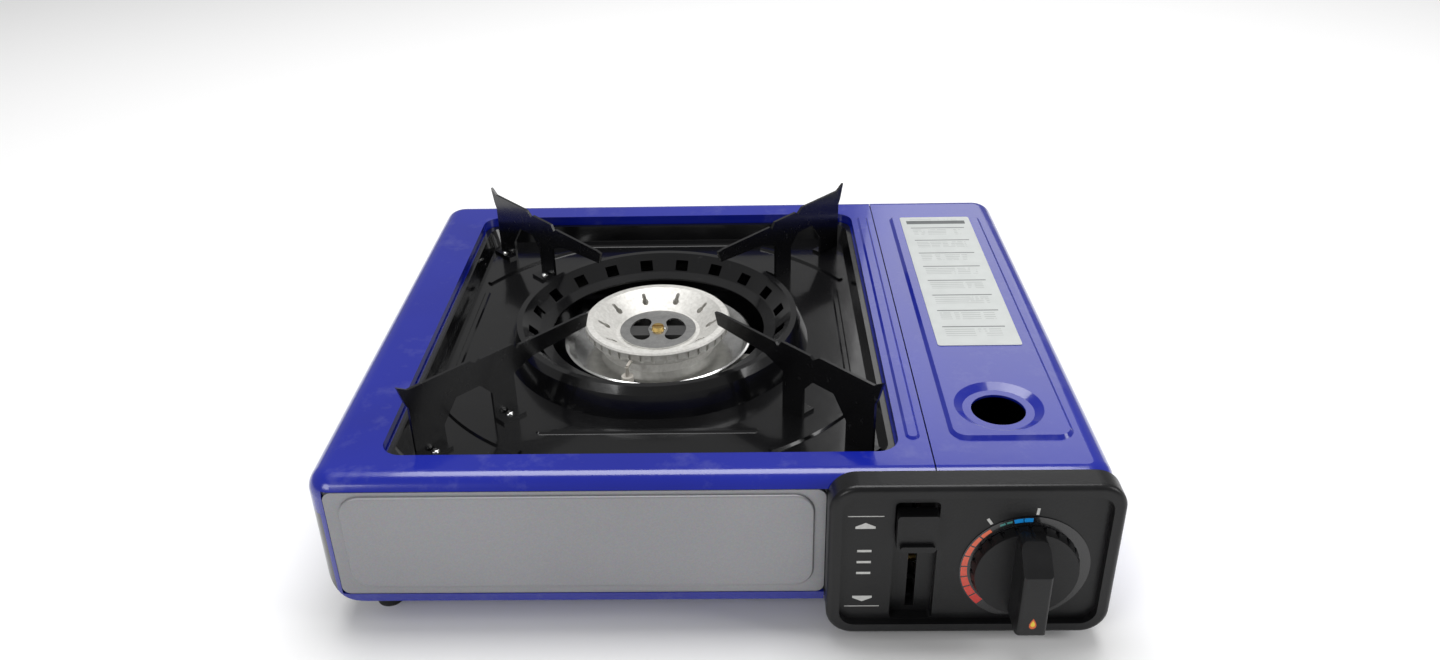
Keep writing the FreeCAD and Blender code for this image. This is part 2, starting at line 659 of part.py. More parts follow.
def heat_shield():
    y0 = front_y + pocket + sheet
    wall_plate = box(heat_x, heat_x + heat_t, y0 + 6, back_y - sheet - 9, bay_z + sheet, top_z - sheet)
    foot_strip = box(heat_x, heat_x + 8, y0 + 20, back_y - 20, bay_z + sheet, bay_z + sheet + heat_t)
    part = fuse(wall_plate, foot_strip)
    pin = rod(lever_pin_r, heat_x - 1, lever_y, lever_z, 5, (1, 0, 0))
    way = rod(4.0, heat_x - 1, tube_y, tube_z, 5, (1, 0, 0))
    front_cut = box(heat_x - 1, heat_x + 9, y0 - 1, y0 + 14, base_z - 2, knob_z + 12)
    return cut(part, pin, way, front_cut)


# Gas way: regulator, cover, socket, seal, key, tube and jet
cart_x = 131.0
cart_z = 45.0
cart_r = 34.0
reg_y0 = front_y + 6.0
reg_y1 = front_y + 26.0
socket_len = 9.0
tube_y = front_y + 20.0
tube_z = 21.5
tube_r = 2.5
tube_x = 62.0


def regulator_body():
    body = rod(17.0, cart_x, reg_y0, cart_z, reg_y1 - reg_y0, (0, 1, 0))
    boss = rod(7.5, knob_x, cam_y1 + 1.0, knob_z, reg_y0 - cam_y1 + 1, (0, 1, 0))
    outlet = rod(5.0, heat_x + heat_t + 3, tube_y, tube_z, cart_x - heat_x - 10, (1, 0, 0))
    drum = rod(9.5, cart_x, (reg_y0 + reg_y1) / 2, bay_z + 10, cart_z - bay_z - 14, (0, 0, 1))
    ears = box(cart_x - 24, cart_x + 24, reg_y0, reg_y0 + 4, cart_z - 5, cart_z + 5)
    part = fuse(body, boss, outlet, drum, ears)
    bore = rod(spindle_r + hinge_fit, knob_x, front_y - 5, knob_z, spindle_end - front_y + 5.5, (0, 1, 0))
    inlet = rod(2.2, cart_x, reg_y1 - 8, cart_z, 10, (0, 1, 0))
    outlet_way = rod(tube_r, heat_x, tube_y, tube_z, 10, (1, 0, 0))
    return cut(part, bore, inlet, outlet_way)


def regulator_cover():
    y = (reg_y0 + reg_y1) / 2
    cap = Part.makeCone(9.5, 12.0, 3.0, vec(cart_x, y, bay_z + 7))
    rib = rod(5.0, cart_x, y, bay_z + 5, 2.5)
    return fuse(cap, rib)


def regulator_bracket():
    # Bent plate that carries the regulator on the shell's floor
    floor = bay_z + sheet
    upright_part = box(cart_x - 26, cart_x - 18, reg_y0 + 4, reg_y0 + 5.2, floor, cart_z + 5)
    other = box(cart_x + 18, cart_x + 26, reg_y0 + 4, reg_y0 + 5.2, floor, cart_z + 5)
    base = box(cart_x - 26, cart_x + 26, reg_y0 + 4, reg_y0 + 18, floor, floor + 1.2)
    return fuse(upright_part, other, base)


def cartridge_socket():
    y = reg_y1
    cup = rod(18.0, cart_x, y, cart_z, socket_len, (0, 1, 0))
    cup = cut(cup, rod(14.0, cart_x, y + 3, cart_z, socket_len, (0, 1, 0)), rod(2.2, cart_x, y - 1, cart_z, 20, (0, 1, 0)))
    notch = box(cart_x - 2, cart_x + 2, y + 4, y + socket_len + 1, cart_z + 12, cart_z + 20)
    return cut(cup, notch)


def socket_seal():
    ring = rod(6.0, cart_x, reg_y1 + 3, cart_z, 2.5, (0, 1, 0))
    return cut(ring, rod(2.2, cart_x, reg_y1, cart_z, 10, (0, 1, 0)))


def collar_pin():
    # Small key on top of the socket for the notch in a cartridge's collar
    stem = box(cart_x - 1.8, cart_x + 1.8, reg_y1 + 4.2, reg_y1 + 12, cart_z + 14.2, cart_z + 17.8)
    plate_part = box(cart_x - 6, cart_x + 6, reg_y1 + 0.5, reg_y1 + socket_len, cart_z + 18, cart_z + 19.2)
    return fuse(stem, box(cart_x - 1.8, cart_x + 1.8, reg_y1 + 4.2, reg_y1 + 9, cart_z + 17.5, cart_z + 18.5), plate_part)


def bent_tube(points, radius, bend):
    # Straight runs joined by tangent arcs, with a round section
    pts = [vec(*p) for p in points]
    edges = []
    start = pts[0]
    for a, b, c in zip(pts, pts[1:], pts[2:]):
        u = (a - b).normalize()
        w = (c - b).normalize()
        half = u.getAngle(w) / 2
        back = bend / math.tan(half)
        first = b + u * back
        last = b + w * back
        middle = b + (u + w).normalize() * (bend / math.sin(half) - bend)
        edges.append(Part.LineSegment(start, first).toShape())
        edges.append(Part.Arc(first, middle, last).toShape())
        start = last
    edges.append(Part.LineSegment(start, pts[-1]).toShape())
    path = Part.Wire(edges)
    ring = Part.Wire(Part.Circle(pts[0], (pts[1] - pts[0]).normalize(), radius).toShape())
    return path.makePipeShell([ring], True, True)


jet_x = 44.0
jet_z = 45.0
mix_r = 8.0
neck_r = 15.5


def gas_tube():
    route = [(heat_x + 9, tube_y, tube_z), (tube_x, tube_y, tube_z), (tube_x, burner_y, tube_z),
             (tube_x, burner_y, jet_z), (jet_x, burner_y, jet_z)]
    return bent_tube(route, tube_r - 0.05, 8.0)


def gas_jet():
    nut = rod(5.0, jet_x - 8, burner_y, jet_z, 8, (1, 0, 0))
    tip = Part.makeCone(1.6, 3.4, 5, vec(jet_x - 13, burner_y, jet_z), vec(1, 0, 0))
    return cut(fuse(nut, tip), rod(0.6, jet_x - 14, burner_y, jet_z, 20, (1, 0, 0)))


def venturi_tube():
    x_end = jet_x - 10
    run = rod(mix_r, burner_x, burner_y, jet_z, x_end - burner_x - 8, (1, 0, 0))
    mouth = Part.makeCone(mix_r, mix_r + 4, 8, vec(x_end - 8, burner_y, jet_z), vec(1, 0, 0))
    neck_z = jet_z - mix_r - 2
    neck = rod(neck_r, burner_x, burner_y, neck_z, burner_z - 13 - neck_z)
    flange = rod(24, burner_x, burner_y, head_base_z - 4, 3)
    way = rod(mix_r - 2, burner_x, burner_y, jet_z, x_end - burner_x + 1, (1, 0, 0))
    flare = Part.makeCone(mix_r - 2, mix_r + 2.5, 8, vec(x_end - 8, burner_y, jet_z), vec(1, 0, 0))
    up = rod(neck_r - 3, burner_x, burner_y, jet_z, 30)
    return cut(fuse(run, mouth, neck, flange), way, flare, up)


def burner_bracket():
    # Bridge that stands on the shell's floor and carries the mixing tube's neck
    floor = base_z + sheet
    deck = jet_z - mix_r - 2
    top = box(burner_x - 16, burner_x + 16, burner_y - 34, burner_y + 34, deck - 1.2, deck)
    legs = [box(burner_x - 16, burner_x + 16, burner_y + s * 34 - 0.6, burner_y + s * 34 + 0.6, floor, deck)
            for s in (-1, 1)]
    toes = [box(burner_x - 16, burner_x + 16, burner_y + s * 40 - 6, burner_y + s * 40 + 6, floor, floor + 1.2)
            for s in (-1, 1)]
    return fuse(top, *(legs + toes))


spark_x = burner_x - 13.0
spark_y = burner_y - 41.0


def electrode():
    ceramic = rod(3.0, spark_x, spark_y, 38, head_base_z + 5 - 38)
    collar = rod(4.2, spark_x, spark_y, 50.2, 3)
    wire = rod(0.9, spark_x, spark_y, head_base_z + 4, 6)
    tip = Part.makeCylinder(0.9, 5, vec(spark_x, spark_y, head_base_z + 10), vec(0.3, 0.95, 0.1))
    return fuse(ceramic, collar, wire, tip)


def electrode_bracket():
    arm = box(spark_x - 6, spark_x + 6, spark_y - 6, burner_y - neck_r + 1.5, 49, 50.2)
    return cut(arm, rod(3.05, spark_x, spark_y, 45, 10), rod(neck_r, burner_x, burner_y, 45, 10))


def ignition_wire():
    low = base_z + sheet + 1.7
    route = [(igniter_x0, cam_mid + 1, knob_z), (igniter_x0 - 6.5, cam_mid + 1, knob_z),
             (igniter_x0 - 6.5, cam_mid + 9, low), (70, front_y + 22, low), (20, front_y + 40, low),
             (spark_x, spark_y - 14, low), (spark_x, spark_y, low + 6), (spark_x, spark_y, 38)]
    return bent_tube(route, 1.4, 3.6)


# Cradle, pusher, link and spring in the bay
push_travel = 8.0
push_y = back_y - 50.0
cradle_t = 1.2


def cartridge_cradle():
    # Two bent rests, hollowed to the cartridge's radius
    floor = bay_z + sheet
    part = box(cart_x - 26, cart_x + 26, front_y + 60, push_y - 20, floor, floor + cradle_t)
    rests = [box(cart_x - 26, cart_x + 26, y, y + 3, floor, floor + 18) for y in (front_y + 66, push_y - 40)]
    return cut(fuse(part, *rests), rod(cart_r + 0.5, cart_x, front_y, cart_z, body_d, (0, 1, 0)))


def cartridge_pusher():
    # Sliding plate with a bent foot, behind the cartridge's base
    plate_part = upright(cart_x - 23.5, cart_x + 23.5, bay_z + sheet + 3.2, cart_z + 18, 6, push_y, push_y + 2)
    runner = box(cart_x - 24.6, cart_x + 24.6, push_y, push_y + 24, bay_z + sheet + 1.5, bay_z + sheet + 3.2 + 1)
    window = upright(cart_x - 10, cart_x + 10, cart_z - 8, cart_z + 8, 4, push_y - 1, push_y + 3)
    return cut(fuse(plate_part, runner), window)


def pusher_guide():
    # Rails that the pusher's foot runs in
    floor = bay_z + sheet
    base = box(cart_x - 27.6, cart_x + 27.6, push_y - 12, push_y + 28, floor, floor + 1.2)
    rails = []
    for s in (-1, 1):
        x = cart_x + s * 26.5
        rails.append(box(x - 1.1, x + 1.1, push_y - 12, push_y + 28, floor, floor + 6))
        x = cart_x + s * 25.5
        rails.append(box(x - 1.6, x + 1.6, push_y - 12, push_y + 28, floor + 4.5, floor + 6))
    return fuse(base, *rails)


# Screws
def screw(x, y, z, axis, r, length):
    head = Part.makeCone(r * 1.9, r * 1.3, r * 1.2, vec(x, y, z), vec(*axis))
    shank = Part.makeCylinder(r, length, vec(x, y, z), vec(-axis[0], -axis[1], -axis[2]))
    return fuse(head, shank)


def rear_screws():
    heads = [screw(x, back_y, seam_z - 6, (0, 1, 0), 1.5, sheet + 2) for x in (-120, -30, 60)]
    return Part.makeCompound(heads)


def add_screw_holes(part):
    holes = [rod(1.55, x, back_y - 5, seam_z - 6, 10, (0, 1, 0)) for x in (-120, -30, 60)]
    return cut(part, *holes)


def build():
    parts = {}
    parts["base_shell"] = add_screw_holes(cut(base_shell(), front_window()))
    parts["top_plate"] = top_plate()
    parts["front_panel"] = front_panel()
    parts["cartridge_lid"] = cartridge_lid()
    parts["lid_hinge_leaves"] = lid_hinge_leaf()
    parts["lid_hinge_pins"] = lid_hinge_pins()
    parts["lid_label"] = lid_label()
    parts["front_foot_left"] = foot(foot_x_left, foot_y_front, base_z)
    parts["rear_foot_left"] = foot(foot_x_left, foot_y_rear, base_z)
    parts["front_foot_right"] = foot(foot_x_right, foot_y_front, bay_z)
    parts["rear_foot_right"] = foot(foot_x_right, foot_y_rear, bay_z)
    parts["drip_tray"] = drip_tray()
    for sx, sy in support_signs:
        name = "pan_support_" + ("front" if sy < 0 else "rear") + ("_left" if sx < 0 else "_right")
        parts[name] = pan_support(sx, sy)
    parts["tray_rivets"] = tray_rivets()
    for make in (burner_head, burner_plate, burner_screw, burner_cup, venturi_tube, burner_bracket, gas_jet,
                 gas_tube, electrode, electrode_bracket, ignition_wire, control_panel, dial_plate, control_knob,
                 valve_spindle, igniter_body, igniter_plunger, gas_lever, lever_pivot_pin, heat_shield,
                 regulator_body, regulator_cover, regulator_bracket, cartridge_socket, socket_seal, collar_pin,
                 cartridge_cradle, cartridge_pusher, pusher_guide, rear_screws):
        parts[make.__name__] = make()
    return parts


def front_window():
    # Opening behind the control panel
    return upright(control_x0 + 6, half_w - 10, bay_z + 9, shoulder_z - 4, 5, front_y - 1, front_y + pocket + sheet + 1)


def lid_label():
    return plate(111.3, 152.8, mid_y - 41, mid_y + 112, 1.5, top_z + field_h, top_z + field_h + 0.3)


os.makedirs("parts", exist_ok=True)
for name, shape in build().items():
    shape.exportStep("parts/" + name + ".step")
    print(name, shape.isValid(), len(shape.Solids), round(shape.Volume), flush=True)
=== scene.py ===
import bpy
import bmesh
import math
from mathutils import Matrix, Vector


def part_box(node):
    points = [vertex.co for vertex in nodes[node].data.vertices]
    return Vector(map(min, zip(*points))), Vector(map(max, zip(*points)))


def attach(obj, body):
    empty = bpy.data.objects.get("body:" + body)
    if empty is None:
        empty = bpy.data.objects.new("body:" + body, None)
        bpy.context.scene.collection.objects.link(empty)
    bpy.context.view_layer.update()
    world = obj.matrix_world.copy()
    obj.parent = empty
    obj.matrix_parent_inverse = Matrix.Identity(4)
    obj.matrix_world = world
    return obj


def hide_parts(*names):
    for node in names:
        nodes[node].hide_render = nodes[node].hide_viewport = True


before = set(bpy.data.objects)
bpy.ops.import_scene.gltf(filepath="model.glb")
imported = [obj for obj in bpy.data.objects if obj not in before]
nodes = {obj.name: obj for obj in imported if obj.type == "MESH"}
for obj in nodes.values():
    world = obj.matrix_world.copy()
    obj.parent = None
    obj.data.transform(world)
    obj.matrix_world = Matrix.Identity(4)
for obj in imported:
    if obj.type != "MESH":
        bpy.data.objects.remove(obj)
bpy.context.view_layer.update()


# Lower shell, top plate and lid of pressed steel, sprayed with a deep gloss blue and stoved.
# The coat has a fine orange peel, slow clouds in its blue, and a little dust.
class Wire:
    """A shader socket that takes part in sums, so a pattern reads as an expression."""

    def __init__(self, sheet, socket):
        self.sheet = sheet
        self.socket = socket

    def _math(self, kind, *values):
        return self.sheet.node("ShaderNodeMath", {"operation": kind}, dict(enumerate(values)))

    def __add__(self, other):
        return self._math("ADD", self, other)

    def __radd__(self, other):
        return self._math("ADD", other, self)

    def __sub__(self, other):
        return self._math("SUBTRACT", self, other)

    def __rsub__(self, other):
        return self._math("SUBTRACT", other, self)

    def __mul__(self, other):
        return self._math("MULTIPLY", self, other)

    def __truediv__(self, other):
        return self._math("DIVIDE", self, other)

    def __gt__(self, other):
        return self._math("GREATER_THAN", self, other)

    def __lt__(self, other):
        return self._math("LESS_THAN", self, other)

    def to(self, kind, *values):
        return self._math(kind, self, *values)

    def within(self, low, high):
        return (self > low) * (self < high)


class Finish:
    """One material sheet: its nodes, and the places that patterns are read from."""

    def __init__(self, name, **surface):
        self.material = bpy.data.materials.new(name)
        self.material.use_nodes = True
        self.tree = self.material.node_tree
        self.shader = self.tree.nodes["Principled BSDF"]
        for socket, value in surface.items():
            self.shader.inputs[socket.replace("_", " ")].default_value = value

    def node(self, kind, settings=None, values=None, out=0):
        made = self.tree.nodes.new(kind)
        for key, value in (settings or {}).items():
            setattr(made, key, value)
        for key, value in (values or {}).items():
            if isinstance(value, Wire):
                self.tree.links.new(value.socket, made.inputs[key])
            else:
                made.inputs[key].default_value = value
        return Wire(self, made.outputs[out])

    def place(self):
        return self.node("ShaderNodeTexCoord", out="Object")

    def axis(self, name):
        return self.node("ShaderNodeSeparateXYZ", values={0: self.place()}, out=name)

    def noise(self, scale, detail=3.0, roughness=0.5, where=None):
        return self.node("ShaderNodeTexNoise", values={
            "Vector": where or self.place(), "Scale": scale, "Detail": detail, "Roughness": roughness})

    def stretched(self, x, y, z):
        return self.node("ShaderNodeMapping", values={"Vector": self.place(), "Scale": (x, y, z)})

    def spread(self, wire, low, high, to_low, to_high):
        return self.node("ShaderNodeMapRange", values={
            "Value": wire, "From Min": low, "From Max": high, "To Min": to_low, "To Max": to_high})

    def blend(self, mask, first, second):
        values = {0: mask}
        values[6] = first if isinstance(first, Wire) else (*first, 1.0)
        values[7] = second if isinstance(second, Wire) else (*second, 1.0)
        return self.node("ShaderNodeMix", {"data_type": "RGBA"}, values, out=2)

    def feed(self, socket, wire):
        self.tree.links.new(wire.socket, self.shader.inputs[socket])

    def bump(self, height, strength, distance):
        self.feed("Normal", self.node("ShaderNodeBump", values={
            "Height": height, "Strength": strength, "Distance": distance}))


def dress(finish, *names):
    for name in names:
        slots = nodes[name].data.materials
        slots.clear()
        slots.append(finish.material)


def stoved_paint(name, deep, light, rough, peel):
    paint = Finish(name, Roughness=rough, Coat_Weight=0.35, Coat_Roughness=0.04, IOR=1.5)
    cloud = paint.noise(9.0, 4.0)
    fine = paint.noise(420.0, 2.0)
    dust = paint.spread(paint.noise(55.0, 6.0, 0.65), 0.56, 0.74, 0.0, 0.35)
    colour = paint.blend(paint.spread(cloud, 0.3, 0.7, 0.0, 1.0), deep, light)
    paint.feed("Base Color", paint.blend(dust * 0.16, colour, (0.55, 0.56, 0.6)))
    paint.feed("Roughness", rough + dust * 0.22 + paint.spread(cloud, 0.3, 0.7, 0.0, 0.05))
    paint.bump(fine * 0.35 + paint.noise(95.0, 2.0), peel, 0.0004)
    return paint


dress(stoved_paint("blue_stoved_paint", (0.003, 0.009, 0.24), (0.005, 0.014, 0.3), 0.15, 0.1),
      "top_plate", "cartridge_lid")

# Painted shade: inside its walls the shell's blue is swapped for near-black, standing in for the shade inside the
# closed case.
tub = stoved_paint("blue_shell_paint", (0.003, 0.009, 0.24), (0.005, 0.014, 0.3), 0.15, 0.1)
low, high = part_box("base_shell")
skin = 0.0007
front_skin = 0.0018
shallow_rise = 0.0085
bay_step = 0.074
sideways = tub.axis("X")
upright = tub.axis("Z")
shallow_floor = low[2] + shallow_rise + skin
painted_shade_inside = (sideways.within(low[0] + skin, high[0] - skin) * tub.axis("Y").within(low[1] + front_skin, high[1] - skin)
          * (upright > low[2] + skin) * ((upright > shallow_floor) + (sideways > bay_step)).to("MINIMUM", 1.0))
painted = Wire(tub, tub.shader.inputs["Base Color"].links[0].from_socket)
# Painted shade: near-black wherever the box mask counts as inside the walls.
tub.feed("Base Color", tub.blend(painted_shade_inside, painted, (0.022, 0.022, 0.026)))
dress(tub, "base_shell")


# Front panel: pressed steel sheet in a satin silver-grey metallic spray.
# Fine metal flakes show close to, and faint handling marks run along it.
flake = Finish("silver_satin_spray", Metallic=0.35, Roughness=0.42, IOR=1.5)
grains = flake.node("ShaderNodeTexVoronoi", values={"Vector": flake.place(), "Scale": 1500.0}, out="Color")
tone = flake.spread(flake.noise(6.0, 3.0), 0.3, 0.7, 0.0, 1.0)
base = flake.blend(tone, (0.235, 0.235, 0.25), (0.285, 0.285, 0.3))
flake.feed("Base Color", flake.blend(0.035, base, grains))
marks = flake.spread(flake.noise(40.0, 5.0, 0.6, flake.stretched(0.12, 1.0, 1.0)), 0.5, 0.8, 0.0, 0.1)
flake.feed("Roughness", 0.4 + marks)
flake.bump(flake.noise(700.0, 2.0), 0.06, 0.0003)
dress(flake, "front_panel")


# Drip tray and pan supports: sheet steel dipped in black vitreous enamel and fired, so it is glassy.
# The enamel lies slightly uneven on the flats, with fine grey specks, and the blades are duller than the tray.
enamel = Finish("black_fired_enamel", Coat_Weight=0.3, Coat_Roughness=0.05, IOR=1.42)
flow = enamel.noise(26.0, 3.0)
speck = enamel.spread(enamel.noise(260.0, 5.0, 0.7), 0.66, 0.74, 0.0, 0.5)
enamel.feed("Base Color", enamel.blend(speck * 0.3, (0.003, 0.003, 0.0034), (0.1, 0.1, 0.104)))
enamel.feed("Roughness", 0.13 + enamel.spread(flow, 0.3, 0.7, 0.0, 0.07) + speck * 0.25)
enamel.bump(flow + enamel.noise(120.0, 2.0) * 0.25, 0.16, 0.0012)
dress(enamel, "drip_tray")
blade_enamel = Finish("blade_enamel", Coat_Weight=0.2, Coat_Roughness=0.12, IOR=1.42)
wear = blade_enamel.spread(blade_enamel.noise(180.0, 5.0, 0.7), 0.62, 0.75, 0.0, 0.4)
blade_enamel.feed("Base Color", blade_enamel.blend(wear, (0.0035, 0.0035, 0.004), (0.06, 0.06, 0.062)))
blade_enamel.feed("Roughness", 0.26 + wear * 0.4)
blade_enamel.bump(blade_enamel.noise(150.0, 3.0), 0.12, 0.0006)
dress(blade_enamel, "pan_support_front_left", "pan_support_front_right", "pan_support_rear_left",
      "pan_support_rear_right")


# Burner, gas fittings and small metal: cast aluminium, zinc-plated sheet, bright steel and turned brass.
# Each metal is one finish, whose grain and roughness vary with fine and broad noise.
def bare_metal(name, dark, light, rough, metal=1.0, grain=160.0, depth=0.1, stretch=None):
    metal_sheet = Finish(name, Metallic=metal, IOR=1.5)
    where = metal_sheet.stretched(*stretch) if stretch else metal_sheet.place()
    fine = metal_sheet.noise(grain, 4.0, 0.6, where)
    broad = metal_sheet.noise(14.0, 3.0)
    mix = metal_sheet.spread(fine * 0.6 + broad * 0.4, 0.35, 0.65, 0.0, 1.0)
    metal_sheet.feed("Base Color", metal_sheet.blend(mix, dark, light))
    metal_sheet.feed("Roughness", rough + metal_sheet.spread(broad, 0.3, 0.7, -0.04, 0.1))
    metal_sheet.bump(fine, depth, 0.0004)
    return metal_sheet


cast = bare_metal("blasted_cast_aluminium", (0.55, 0.54, 0.51), (0.74, 0.73, 0.7), 0.5, 0.6, 520.0, 0.3)
dress(cast, "venturi_tube", "regulator_body")
zinc = bare_metal("zinc_plated_sheet", (0.42, 0.42, 0.4), (0.6, 0.59, 0.55), 0.33, 1.0, 60.0, 0.04)
dress(zinc, "burner_bracket", "electrode_bracket", "heat_shield", "regulator_cover", "regulator_bracket",
      "collar_pin", "cartridge_cradle", "cartridge_pusher", "pusher_guide", "lid_hinge_leaves")
bright = bare_metal("bright_steel", (0.55, 0.55, 0.54), (0.74, 0.74, 0.73), 0.16, 1.0, 220.0, 0.05)
dress(bright, "tray_rivets", "burner_plate", "burner_cup", "lid_hinge_pins", "igniter_plunger",
      "lever_pivot_pin", "rear_screws")
brass = bare_metal("turned_brass", (0.52, 0.34, 0.1), (0.72, 0.52, 0.2), 0.24, 1.0, 240.0, 0.06)
dress(brass, "burner_screw", "gas_jet", "gas_tube", "valve_spindle", "cartridge_socket")


# Burner plate: bright sheet pressed with two kidney openings and a spoke between them, under the brass screw.
# Each opening keeps a rounded end, and the spoke stands across the stove from front to back.
plate_low, plate_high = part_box("burner_plate")
plate_centre = (plate_low + plate_high) / 2
plate_radius = (plate_high[0] - plate_low[0]) / 2

# Painted shade: under the plate the head's chamber is coloured near-black and loses its metal, standing in for the
# shade inside it; its dish above stays pale.
head = bare_metal("blasted_burner_head", (0.55, 0.54, 0.51), (0.74, 0.73, 0.7), 0.5, 0.6, 520.0, 0.3)
off_x = head.axis("X") - plate_centre[0]
off_y = head.axis("Y") - plate_centre[1]
rim_land, floor_land = 0.0003, 0.0004
from_middle = (off_x * off_x + off_y * off_y).to("SQRT")
painted_shade_chamber = (from_middle < plate_radius - rim_land) * (head.axis("Z") < plate_low[2] + floor_land)
plain_cast_colour = Wire(head, head.shader.inputs["Base Color"].links[0].from_socket)
# Painted shade: the chamber is near-black and not metallic, standing in for its shade.
head.feed("Base Color", head.blend(painted_shade_chamber, plain_cast_colour, (0.02, 0.02, 0.02)))
head.feed("Metallic", 0.6 - painted_shade_chamber * 0.6)
dress(head, "burner_head")

kidney_inner, kidney_outer = 0.0052, 0.0148
kidney_reach = math.radians(64)
kidney_columns, kidney_rings, spoke_columns = 24, 10, 8
plate_work = bmesh.new()
screw_hole, inner_land, outer_land = 0.0016, 0.0034, 0.0172
ring_radii = ([screw_hole, inner_land] + [kidney_inner + (kidney_outer - kidney_inner) * k / kidney_rings
                                  for k in range(kidney_rings + 1)] + [outer_land, plate_radius])
rings = []
for ring_radius in ring_radii:
    share = (ring_radius - kidney_inner) / (kidney_outer - kidney_inner)
    share = min(max(share, 0.0), 1.0)
    rounding = (1 - math.sqrt(1 - (2 * share - 1) ** 2)) * (kidney_outer - kidney_inner) / 2 / ring_radius
    reach = kidney_reach - rounding
    ring = []
    for half in (0, math.pi):
        for column in range(kidney_columns):
            angle = half - reach + 2 * reach * column / kidney_columns
            ring.append(angle)
        for column in range(spoke_columns):
            angle = half + reach + (math.pi - 2 * reach) * column / spoke_columns
            ring.append(angle)
    rings.append([plate_work.verts.new((plate_centre[0] + ring_radius * math.cos(angle),
                                        plate_centre[1] + ring_radius * math.sin(angle), plate_high[2]))
                  for angle in ring])
around = len(rings[0])
for ring_index in range(len(rings) - 1):
    in_slot = 2 <= ring_index < 2 + kidney_rings
    for column in range(around):
        if in_slot and column % (kidney_columns + spoke_columns) < kidney_columns:
            continue
        following = (column + 1) % around
        plate_work.faces.new((rings[ring_index][column], rings[ring_index + 1][column],
                              rings[ring_index + 1][following], rings[ring_index][following]))
bmesh.ops.recalc_face_normals(plate_work, faces=plate_work.faces[:])
if plate_work.faces[:][0].normal.z < 0:
    bmesh.ops.reverse_faces(plate_work, faces=plate_work.faces[:])
bmesh.ops.solidify(plate_work, geom=plate_work.faces[:], thickness=plate_high[2] - plate_low[2])
bmesh.ops.recalc_face_normals(plate_work, faces=plate_work.faces[:])
plate_mesh = bpy.data.meshes.new("kidney_plate")
plate_work.to_mesh(plate_mesh)
plate_work.free()
kidney_plate = bpy.data.objects.new("kidney_plate", plate_mesh)
bpy.context.collection.objects.link(kidney_plate)
plate_mesh.materials.append(bright.material)
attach(kidney_plate, "case")
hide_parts("burner_plate")


# Rivet heads: each foot of a pan support is held by two domed steel rivets, set by machine.
# A Geometry Nodes tree puts the same low dome on each rivet's place, taken from the CAD solids.
rivets = nodes["tray_rivets"]
heads = {}
head_span = 0.006
for corner in rivets.data.vertices:
    spot = corner.co
    for centre, corners in heads.items():
        if (Vector(centre) - spot).length < head_span:
            corners.append(spot.copy())
            break
    else:
        heads[tuple(spot)] = [spot.copy()]
rivet_low, rivet_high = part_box("tray_rivets")
places = [((min(c.x for c in group) + max(c.x for c in group)) / 2,
           (min(c.y for c in group) + max(c.y for c in group)) / 2, rivet_low[2]) for group in heads.values()]
seat_mesh = bpy.data.meshes.new("rivet_seats")
seat_mesh.from_pydata(places, [], [])
rivet_domes = bpy.data.objects.new("rivet_domes", seat_mesh)
bpy.context.collection.objects.link(rivet_domes)
tree = bpy.data.node_groups.new("rivet_row", "GeometryNodeTree")
tree.interface.new_socket("Seats", in_out="INPUT", socket_type="NodeSocketGeometry")
head_radius = tree.interface.new_socket("Head Radius", in_out="INPUT", socket_type="NodeSocketFloat")
head_height = tree.interface.new_socket("Head Height", in_out="INPUT", socket_type="NodeSocketFloat")
tree.interface.new_socket("Rivets", in_out="OUTPUT", socket_type="NodeSocketGeometry")
head_radius.default_value = 0.0021
head_height.default_value = rivet_high[2] - rivet_low[2]
entry = tree.nodes.new("NodeGroupInput")
leave = tree.nodes.new("NodeGroupOutput")
dome = tree.nodes.new("GeometryNodeMeshUVSphere")
dome.inputs["Segments"].default_value = 20
dome.inputs["Rings"].default_value = 12
dome.inputs["Radius"].default_value = 1.0
stretch = tree.nodes.new("ShaderNodeCombineXYZ")
set_on = tree.nodes.new("GeometryNodeInstanceOnPoints")
realise = tree.nodes.new("GeometryNodeRealizeInstances")
paint_node = tree.nodes.new("GeometryNodeSetMaterial")
paint_node.inputs["Material"].default_value = bright.material
link = tree.links.new
link(entry.outputs["Head Radius"], stretch.inputs["X"])
link(entry.outputs["Head Radius"], stretch.inputs["Y"])
link(entry.outputs["Head Height"], stretch.inputs["Z"])
link(entry.outputs["Seats"], set_on.inputs["Points"])
link(dome.outputs["Mesh"], set_on.inputs["Instance"])
link(stretch.outputs["Vector"], set_on.inputs["Scale"])
link(set_on.outputs["Instances"], realise.inputs["Geometry"])
link(realise.outputs["Geometry"], paint_node.inputs["Geometry"])
link(paint_node.outputs["Geometry"], leave.inputs["Rivets"])
row = rivet_domes.modifiers.new("rivet_row", "NODES")
row.node_group = tree
rivet_domes.data = bpy.data.meshes.new_from_object(
    rivet_domes.evaluated_get(bpy.context.evaluated_depsgraph_get()))
rivet_domes.modifiers.clear()
for polygon in rivet_domes.data.polygons:
    polygon.use_smooth = True
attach(rivet_domes, "tray")
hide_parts("tray_rivets")


# Spark electrode: an unglazed white ceramic body.
# The ceramic is chalky and slightly stained by heat towards its tip.
ceramic = Finish("white_ceramic_body", IOR=1.5)
stain = ceramic.spread(ceramic.axis("Z"), 0.060, 0.068, 0.0, 0.7)
chalk = ceramic.noise(300.0, 4.0)
clay = ceramic.blend(ceramic.spread(chalk, 0.3, 0.7, 0.0, 1.0), (0.62, 0.6, 0.55), (0.74, 0.72, 0.67))
ceramic.feed("Base Color", ceramic.blend(stain, clay, (0.3, 0.27, 0.23)))
ceramic.feed("Roughness", 0.55 + chalk * 0.2)
ceramic.bump(chalk, 0.1, 0.0003)
dress(ceramic, "electrode")


